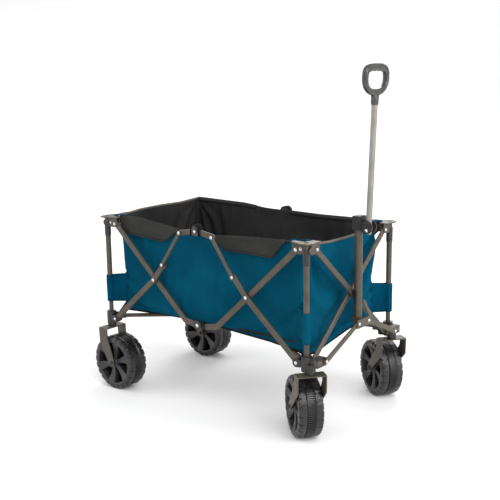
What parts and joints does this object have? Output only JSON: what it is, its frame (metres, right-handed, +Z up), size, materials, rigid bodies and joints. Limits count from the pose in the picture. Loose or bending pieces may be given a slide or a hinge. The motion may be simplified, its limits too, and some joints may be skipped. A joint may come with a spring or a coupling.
{
  "type": "folding wagon",
  "caption": "Folding utility wagon: scissor-link steel frame, fabric bag, wide knobbly wheels with front casters and a pull handle with a D grip.",
  "frame": {"origin": "centre of the bounding box on the ground plane", "axes": "+X towards the handle end, +Z up, +Y across to the side on the right of someone holding the pull handle and looking back at the wagon"},
  "size_m": [1.0365, 0.6512, 1.1518],
  "materials": {
    "frame_steel": "satin",
    "black_plastic": "satin",
    "wheel_rubber": "matte",
    "canvas": "matte",
    "floor_pad": "matte"
  },
  "bodies": {
    "side_left": {"mid_block_left": "black_plastic", "bag_side_left": "canvas"},
    "side_right": {"mid_block_right": "black_plastic", "bag_side_right": "canvas"},
    "front_mid": {"bag_front": "canvas"},
    "rear_mid": {"bag_rear": "canvas"},
    "corner_fl": {"hub_fl": "black_plastic", "post_lower_fl": "frame_steel"},
    "upper_fl": {"post_upper_fl": "frame_steel"},
    "bar_long_fl": {"bar_long_fl": "frame_steel"},
    "bar_short_fl": {"bar_short_fl": "frame_steel"},
    "link_fl": {"link_fl": "frame_steel"},
    "floor_stay_fl": {"floor_stay_fl": "frame_steel"},
    "caster_fl": {"fork_fl": "frame_steel"},
    "wheel_fl": {"wheel_fl": "wheel_rubber"},
    "corner_fr": {"hub_fr": "black_plastic", "post_lower_fr": "frame_steel"},
    "upper_fr": {"post_upper_fr": "frame_steel"},
    "bar_long_fr": {"bar_long_fr": "frame_steel"},
    "bar_short_fr": {"bar_short_fr": "frame_steel"},
    "link_fr": {"link_fr": "frame_steel"},
    "floor_stay_fr": {"floor_stay_fr": "frame_steel"},
    "caster_fr": {"fork_fr": "frame_steel"},
    "wheel_fr": {"wheel_fr": "wheel_rubber"},
    "corner_rl": {"hub_rl": "black_plastic", "post_lower_rl": "frame_steel", "fork_rl": "frame_steel"},
    "upper_rl": {"post_upper_rl": "frame_steel"},
    "bar_long_rl": {"bar_long_rl": "frame_steel"},
    "bar_short_rl": {"bar_short_rl": "frame_steel"},
    "link_rl": {"link_rl": "frame_steel"},
    "floor_stay_rl": {"floor_stay_rl": "frame_steel"},
    "wheel_rl": {"wheel_rl": "wheel_rubber"},
    "corner_rr": {"hub_rr": "black_plastic", "post_lower_rr": "frame_steel", "fork_rr": "frame_steel"},
    "upper_rr": {"post_upper_rr": "frame_steel"},
    "bar_long_rr": {"bar_long_rr": "frame_steel"},
    "bar_short_rr": {"bar_short_rr": "frame_steel"},
    "link_rr": {"link_rr": "frame_steel"},
    "floor_stay_rr": {"floor_stay_rr": "frame_steel"},
    "wheel_rr": {"wheel_rr": "wheel_rubber"},
    "top_rail_left": {"top_rail_left": "frame_steel"},
    "floor_left": {"floor_left": "floor_pad"},
    "foot_strut_left": {"foot_strut_left": "frame_steel"},
    "top_rail_right": {"top_rail_right": "frame_steel"},
    "floor_right": {"floor_right": "floor_pad"},
    "foot_strut_right": {"foot_strut_right": "frame_steel"},
    "brace_right": {"brace_right": "frame_steel"},
    "cross_outer_front": {"cross_outer_front": "frame_steel"},
    "cross_inner_front": {"cross_inner_front": "frame_steel"},
    "cross_outer_rear": {"cross_outer_rear": "frame_steel"},
    "cross_inner_rear": {"cross_inner_rear": "frame_steel"},
    "mast": {"mast": "frame_steel", "handle_latch": "black_plastic"},
    "collar": {"mast_collar": "black_plastic"},
    "pole": {"pole_outer": "frame_steel"},
    "grip": {"pole_inner": "frame_steel", "grip": "black_plastic"}
  },
  "joints": [
    {"name": "fold", "type": "slide", "parent": "side_left", "child": "corner_fl", "axis": [-1, 0, 0], "range_m": [0, 0.225], "deforming": ["bag_side_left", "bag_side_right", "bag_front", "bag_rear", "floor_left", "floor_right"]},
    {"name": "fold_rear_left", "type": "slide", "parent": "side_left", "child": "corner_rl", "axis": [1, 0, 0], "range_m": [0, 0.225]},
    {"name": "fold_front_middle", "type": "slide", "parent": "corner_fl", "child": "front_mid", "axis": [0, -1, 0], "range_m": [0, 0.114]},
    {"name": "fold_front_right", "type": "slide", "parent": "front_mid", "child": "corner_fr", "axis": [0, -1, 0], "range_m": [0, 0.114]},
    {"name": "fold_side_right", "type": "slide", "parent": "corner_fr", "child": "side_right", "axis": [1, 0, 0], "range_m": [0, 0.225]},
    {"name": "fold_rear_right", "type": "slide", "parent": "side_right", "child": "corner_rr", "axis": [1, 0, 0], "range_m": [0, 0.225]},
    {"name": "fold_rear_middle", "type": "slide", "parent": "corner_rl", "child": "rear_mid", "axis": [0, -1, 0], "range_m": [0, 0.114]},
    {"name": "post_rise_fl", "type": "slide", "parent": "corner_fl", "child": "upper_fl", "axis": [0, 0, 1], "range_m": [0, 0.1562]},
    {"name": "bar_long_turn_fl", "type": "hinge", "parent": "upper_fl", "child": "bar_long_fl", "pos_m": [0.3813, -0.2696, 0.606], "axis": [0, 1, 0], "range_deg": [-32.88, 0]},
    {"name": "bar_short_turn_fl", "type": "hinge", "parent": "corner_fl", "child": "bar_short_fl", "pos_m": [0.3893, -0.2795, 0.256], "axis": [0, 1, 0], "range_deg": [0, 33]},
    {"name": "link_turn_fl", "type": "hinge", "parent": "bar_short_fl", "child": "link_fl", "pos_m": [0.1383, -0.2865, 0.489], "axis": [0, 1, 0], "range_deg": [-8.5, 0]},
    {"name": "floor_stay_turn_fl", "type": "hinge", "parent": "corner_fl", "child": "floor_stay_fl", "pos_m": [0.39391, -0.26023, 0.2635], "axis": [0.4758, 0.8796, 0], "range_deg": [0, 57]},
    {"name": "post_rise_fr", "type": "slide", "parent": "corner_fr", "child": "upper_fr", "axis": [0, 0, 1], "range_m": [0, 0.1562]},
    {"name": "bar_long_turn_fr", "type": "hinge", "parent": "upper_fr", "child": "bar_long_fr", "pos_m": [0.3813, 0.1966, 0.606], "axis": [0, 1, 0], "range_deg": [-32.88, 0]},
    {"name": "bar_short_turn_fr", "type": "hinge", "parent": "corner_fr", "child": "bar_short_fr", "pos_m": [0.3893, 0.2065, 0.256], "axis": [0, 1, 0], "range_deg": [0, 33]},
    {"name": "link_turn_fr", "type": "hinge", "parent": "bar_short_fr", "child": "link_fr", "pos_m": [0.1383, 0.2135, 0.489], "axis": [0, 1, 0], "range_deg": [-8.5, 0]},
    {"name": "floor_stay_turn_fr", "type": "hinge", "parent": "corner_fr", "child": "floor_stay_fr", "pos_m": [0.39391, 0.18723, 0.2635], "axis": [-0.4758, 0.8796, 0], "range_deg": [0, 57]},
    {"name": "post_rise_rl", "type": "slide", "parent": "corner_rl", "child": "upper_rl", "axis": [0, 0, 1], "range_m": [0, 0.1562]},
    {"name": "bar_long_turn_rl", "type": "hinge", "parent": "upper_rl", "child": "bar_long_rl", "pos_m": [-0.4207, -0.2696, 0.606], "axis": [0, 1, 0], "range_deg": [0, 32.88]},
    {"name": "bar_short_turn_rl", "type": "hinge", "parent": "corner_rl", "child": "bar_short_rl", "pos_m": [-0.4287, -0.2795, 0.256], "axis": [0, 1, 0], "range_deg": [-33, 0]},
    {"name": "link_turn_rl", "type": "hinge", "parent": "bar_short_rl", "child": "link_rl", "pos_m": [-0.1777, -0.2865, 0.489], "axis": [0, 1, 0], "range_deg": [0, 8.5]},
    {"name": "floor_stay_turn_rl", "type": "hinge", "parent": "corner_rl", "child": "floor_stay_rl", "pos_m": [-0.43331, -0.26023, 0.2635], "axis": [0.4758, -0.8796, 0], "range_deg": [0, 57]},
    {"name": "post_rise_rr", "type": "slide", "parent": "corner_rr", "child": "upper_rr", "axis": [0, 0, 1], "range_m": [0, 0.1562]},
    {"name": "bar_long_turn_rr", "type": "hinge", "parent": "upper_rr", "child": "bar_long_rr", "pos_m": [-0.4207, 0.1966, 0.606], "axis": [0, 1, 0], "range_deg": [0, 32.88]},
    {"name": "bar_short_turn_rr", "type": "hinge", "parent": "corner_rr", "child": "bar_short_rr", "pos_m": [-0.4287, 0.2065, 0.256], "axis": [0, 1, 0], "range_deg": [-33, 0]},
    {"name": "link_turn_rr", "type": "hinge", "parent": "bar_short_rr", "child": "link_rr", "pos_m": [-0.1777, 0.2135, 0.489], "axis": [0, 1, 0], "range_deg": [0, 8.5]},
    {"name": "floor_stay_turn_rr", "type": "hinge", "parent": "corner_rr", "child": "floor_stay_rr", "pos_m": [-0.43331, 0.18723, 0.2635], "axis": [-0.4758, -0.8796, 0], "range_deg": [0, 57]},
    {"name": "rail_rise_left", "type": "slide", "parent": "side_left", "child": "top_rail_left", "axis": [0, 0, 1], "range_m": [0, 0.1239]},
    {"name": "floor_turn_left", "type": "hinge", "parent": "side_left", "child": "floor_left", "pos_m": [-0.0197, -0.2395, 0.3], "axis": [1, 0, 0], "range_deg": [0, 64]},
    {"name": "rail_rise_right", "type": "slide", "parent": "side_right", "child": "top_rail_right", "axis": [0, 0, 1], "range_m": [0, 0.1239]},
    {"name": "floor_turn_right", "type": "hinge", "parent": "side_right", "child": "floor_right", "pos_m": [-0.0197, 0.1665, 0.3], "axis": [1, 0, 0], "range_deg": [-64, 0]},
    {"name": "cross_outer_turn_front", "type": "hinge", "parent": "upper_fl", "child": "cross_outer_front", "pos_m": [0.4287, -0.2405, 0.607], "axis": [1, 0, 0], "range_deg": [-29.36, 0]},
    {"name": "cross_inner_turn_front", "type": "hinge", "parent": "upper_fr", "child": "cross_inner_front", "pos_m": [0.4188, 0.1675, 0.607], "axis": [1, 0, 0], "range_deg": [0, 29.36]},
    {"name": "cross_outer_turn_rear", "type": "hinge", "parent": "upper_rl", "child": "cross_outer_rear", "pos_m": [-0.4681, -0.2405, 0.607], "axis": [1, 0, 0], "range_deg": [-29.36, 0]},
    {"name": "cross_inner_turn_rear", "type": "hinge", "parent": "upper_rr", "child": "cross_inner_rear", "pos_m": [-0.4582, 0.1675, 0.607], "axis": [1, 0, 0], "range_deg": [0, 29.36]},
    {"name": "mast_rise", "type": "slide", "parent": "front_mid", "child": "mast", "axis": [0, 0, 1], "range_m": [0, 0.1043]},
    {"name": "collar_slide", "type": "slide", "parent": "mast", "child": "collar", "axis": [0, 0, -1], "range_m": [0, 0.0269]},
    {"name": "foot_strut_turn_left", "type": "hinge", "parent": "mast", "child": "foot_strut_left", "pos_m": [0.4683, -0.0645, 0.342], "axis": [1, 0, 0], "range_deg": [0, 46.98]},
    {"name": "foot_strut_turn_right", "type": "hinge", "parent": "mast", "child": "foot_strut_right", "pos_m": [0.4683, -0.0085, 0.342], "axis": [1, 0, 0], "range_deg": [-46.98, 0]},
    {"name": "brace_turn", "type": "hinge", "parent": "collar", "child": "brace_right", "pos_m": [0.45905, -0.0215, 0.412], "axis": [1, 0, 0], "range_deg": [-16.1, 0]},
    {"name": "caster_swivel_fl", "type": "hinge", "parent": "corner_fl", "child": "caster_fl", "pos_m": [0.4353, -0.2745, 0.224], "axis": [0, 0, 1], "continuous": true},
    {"name": "wheel_spin_fl", "type": "hinge", "parent": "caster_fl", "child": "wheel_fl", "pos_m": [0.3759, -0.22709, 0.0983], "axis": [-0.6239, -0.7815, 0], "continuous": true},
    {"name": "caster_swivel_fr", "type": "hinge", "parent": "corner_fr", "child": "caster_fr", "pos_m": [0.4353, 0.2015, 0.224], "axis": [0, 0, 1], "continuous": true},
    {"name": "wheel_spin_fr", "type": "hinge", "parent": "caster_fr", "child": "wheel_fr", "pos_m": [0.37149, 0.24278, 0.0983], "axis": [-0.5432, -0.8396, 0], "continuous": true},
    {"name": "wheel_spin_rl", "type": "hinge", "parent": "corner_rl", "child": "wheel_rl", "pos_m": [-0.4217, -0.2745, 0.0983], "axis": [0, 1, 0], "continuous": true},
    {"name": "wheel_spin_rr", "type": "hinge", "parent": "corner_rr", "child": "wheel_rr", "pos_m": [-0.4217, 0.2015, 0.0983], "axis": [0, 1, 0], "continuous": true},
    {"name": "handle_swing", "type": "hinge", "parent": "mast", "child": "pole", "pos_m": [0.4863, -0.0365, 0.641], "axis": [0, 1, 0], "range_deg": [0, 100]},
    {"name": "handle_extend", "type": "slide", "parent": "pole", "child": "grip", "axis": [0.0401, 0, 0.9992], "range_m": [0, 0.33]}
  ],
  "couplings": [
    {"joint": "fold_rear_left", "follows": "fold", "ratio": 1},
    {"joint": "fold_front_middle", "follows": "fold", "ratio": 0.50667},
    {"joint": "fold_front_right", "follows": "fold", "ratio": 0.50667},
    {"joint": "fold_side_right", "follows": "fold", "ratio": 1},
    {"joint": "fold_rear_right", "follows": "fold", "ratio": 1},
    {"joint": "fold_rear_middle", "follows": "fold", "ratio": 0.50667},
    {"joint": "post_rise_fl", "follows": "fold", "ratio": 0.69422},
    {"joint": "bar_long_turn_fl", "follows": "fold", "rad_per_m": -2.5505},
    {"joint": "bar_short_turn_fl", "follows": "fold", "rad_per_m": 2.5598},
    {"joint": "link_turn_fl", "follows": "fold", "rad_per_m": -0.65935},
    {"joint": "floor_stay_turn_fl", "follows": "fold", "rad_per_m": 4.4215},
    {"joint": "post_rise_fr", "follows": "fold", "ratio": 0.69422},
    {"joint": "bar_long_turn_fr", "follows": "fold", "rad_per_m": -2.5505},
    {"joint": "bar_short_turn_fr", "follows": "fold", "rad_per_m": 2.5598},
    {"joint": "link_turn_fr", "follows": "fold", "rad_per_m": -0.65935},
    {"joint": "floor_stay_turn_fr", "follows": "fold", "rad_per_m": 4.4215},
    {"joint": "post_rise_rl", "follows": "fold", "ratio": 0.69422},
    {"joint": "bar_long_turn_rl", "follows": "fold", "rad_per_m": 2.5505},
    {"joint": "bar_short_turn_rl", "follows": "fold", "rad_per_m": -2.5598},
    {"joint": "link_turn_rl", "follows": "fold", "rad_per_m": 0.65935},
    {"joint": "floor_stay_turn_rl", "follows": "fold", "rad_per_m": 4.4215},
    {"joint": "post_rise_rr", "follows": "fold", "ratio": 0.69422},
    {"joint": "bar_long_turn_rr", "follows": "fold", "rad_per_m": 2.5505},
    {"joint": "bar_short_turn_rr", "follows": "fold", "rad_per_m": -2.5598},
    {"joint": "link_turn_rr", "follows": "fold", "rad_per_m": 0.65935},
    {"joint": "floor_stay_turn_rr", "follows": "fold", "rad_per_m": 4.4215},
    {"joint": "rail_rise_left", "follows": "fold", "ratio": 0.55067},
    {"joint": "floor_turn_left", "follows": "fold", "rad_per_m": 4.9645},
    {"joint": "rail_rise_right", "follows": "fold", "ratio": 0.55067},
    {"joint": "floor_turn_right", "follows": "fold", "rad_per_m": -4.9645},
    {"joint": "cross_outer_turn_front", "follows": "fold", "rad_per_m": -2.2775},
    {"joint": "cross_inner_turn_front", "follows": "fold", "rad_per_m": 2.2775},
    {"joint": "cross_outer_turn_rear", "follows": "fold", "rad_per_m": -2.2775},
    {"joint": "cross_inner_turn_rear", "follows": "fold", "rad_per_m": 2.2775},
    {"joint": "mast_rise", "follows": "fold", "ratio": 0.46356},
    {"joint": "collar_slide", "follows": "fold", "ratio": 0.11956},
    {"joint": "foot_strut_turn_left", "follows": "fold", "rad_per_m": 3.6442},
    {"joint": "foot_strut_turn_right", "follows": "fold", "rad_per_m": -3.6442},
    {"joint": "brace_turn", "follows": "fold", "rad_per_m": -1.2489}
  ]
}
